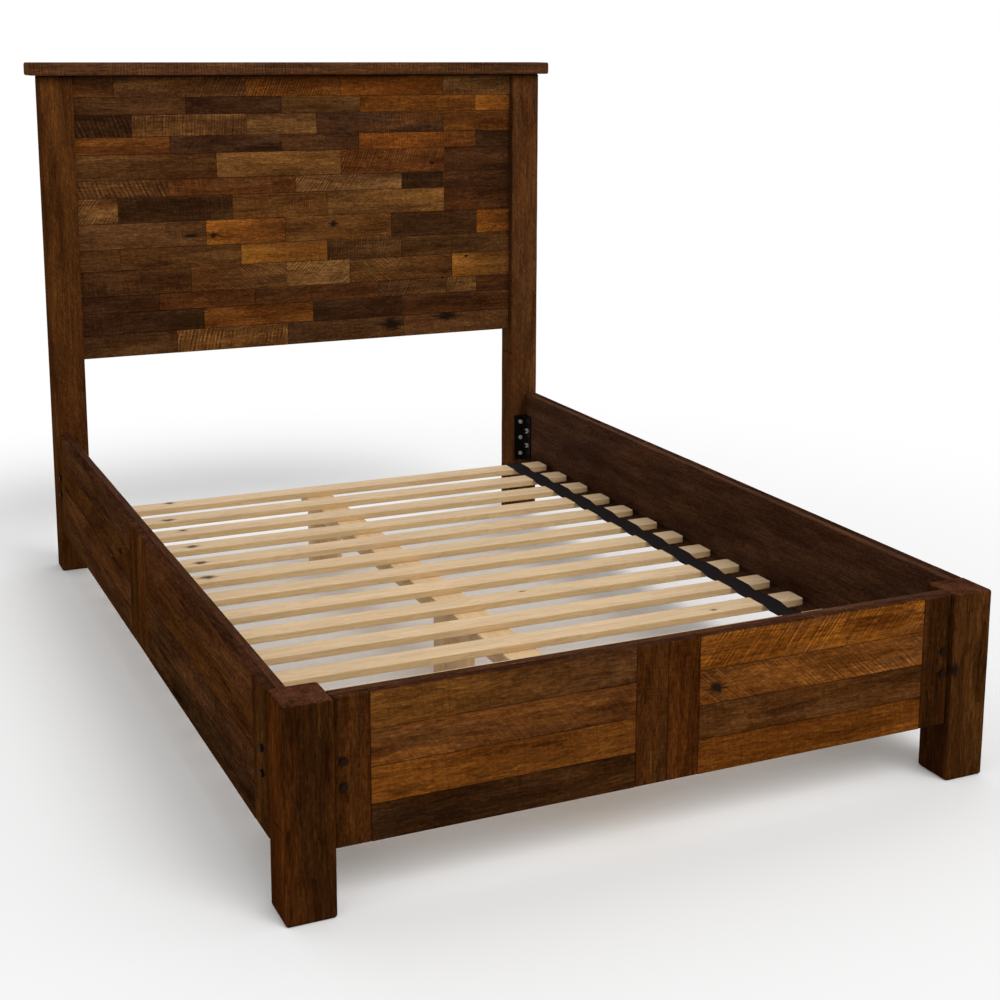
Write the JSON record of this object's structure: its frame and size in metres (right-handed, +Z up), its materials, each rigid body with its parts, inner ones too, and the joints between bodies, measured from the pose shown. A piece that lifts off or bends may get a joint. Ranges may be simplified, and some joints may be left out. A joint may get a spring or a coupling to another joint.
{
  "type": "barnwood bed",
  "caption": "Bed with a headboard of mixed reclaimed strips under a cap board, faced rails bolted to square posts and legs, and a lift-out deck of pine slats on webbing straps.",
  "frame": {"origin": "on the floor, in the middle of the bed's length and width", "axes": "+X across the bed to the right as seen from the foot, +Y from the foot to the headboard, +Z up"},
  "size_m": [1.518, 2.177, 1.4],
  "materials": {
    "mosaic_wood": "mixed reclaimed strips with saw marks, satin oil finish",
    "cap_wood": "reclaimed board, saw-marked front edge, satin oil finish",
    "post_wood": "reclaimed timber, satin oil finish",
    "leg_wood": "reclaimed timber, satin oil finish",
    "facing_wood": "mixed reclaimed boards, satin oil finish",
    "core_wood": "plain board, dark chocolate stain, satin",
    "panel_board": "plain sheet, dark stain",
    "slat_pine": "bare planed pine",
    "beam_pine": "bare planed pine",
    "strap_webbing": "black woven webbing",
    "bracket_black": "black powder coat",
    "bolt_stained": "dark bronze finish",
    "zinc_steel": "zinc plated"
  },
  "bodies": {
    "bed_frame": {"centre_beam": "beam_pine", "centre_beam_cleat": "beam_pine", "centre_foot_leg": "beam_pine", "centre_head_leg": "beam_pine", "foot_left_leg": "leg_wood", "foot_right_leg": "leg_wood", "front_left_bracket": "bracket_black", "front_rail_core": "core_wood", "front_rail_facing": "facing_wood", "front_right_bracket": "bracket_black", "headboard_back_panel": "panel_board", "headboard_cap": "cap_wood", "headboard_course_01": "mosaic_wood", "headboard_course_02": "mosaic_wood", "headboard_course_03": "mosaic_wood", "headboard_course_04": "mosaic_wood", "headboard_course_05": "mosaic_wood", "headboard_course_06": "mosaic_wood", "headboard_course_07": "mosaic_wood", "headboard_course_08": "mosaic_wood", "headboard_course_09": "mosaic_wood", "headboard_course_10": "mosaic_wood", "headboard_course_11": "mosaic_wood", "headboard_course_12": "mosaic_wood", "headboard_course_13": "mosaic_wood", "headboard_left_post": "post_wood", "headboard_right_post": "post_wood", "lag_screws": "zinc_steel", "left_foot_bracket": "bracket_black", "left_head_bracket": "bracket_black", "left_ledger": "core_wood", "left_rail_core": "core_wood", "left_rail_facing": "facing_wood", "rail_bolt_nuts": "zinc_steel", "rail_bolts": "bolt_stained", "right_foot_bracket": "bracket_black", "right_head_bracket": "bracket_black", "right_ledger": "core_wood", "right_rail_core": "core_wood", "right_rail_facing": "facing_wood", "wood_screws": "zinc_steel"},
    "slat_deck": {"left_slat_strap": "strap_webbing", "right_slat_strap": "strap_webbing", "slat_01": "slat_pine", "slat_02": "slat_pine", "slat_03": "slat_pine", "slat_04": "slat_pine", "slat_05": "slat_pine", "slat_06": "slat_pine", "slat_07": "slat_pine", "slat_08": "slat_pine", "slat_09": "slat_pine", "slat_10": "slat_pine", "slat_11": "slat_pine", "slat_12": "slat_pine", "slat_13": "slat_pine", "slat_14": "slat_pine"}
  },
  "joints": [
    {"name": "deck_lift", "type": "slide", "parent": "bed_frame", "child": "slat_deck", "axis": [0, 0, 1], "range_m": [0, 0.3]}
  ]
}
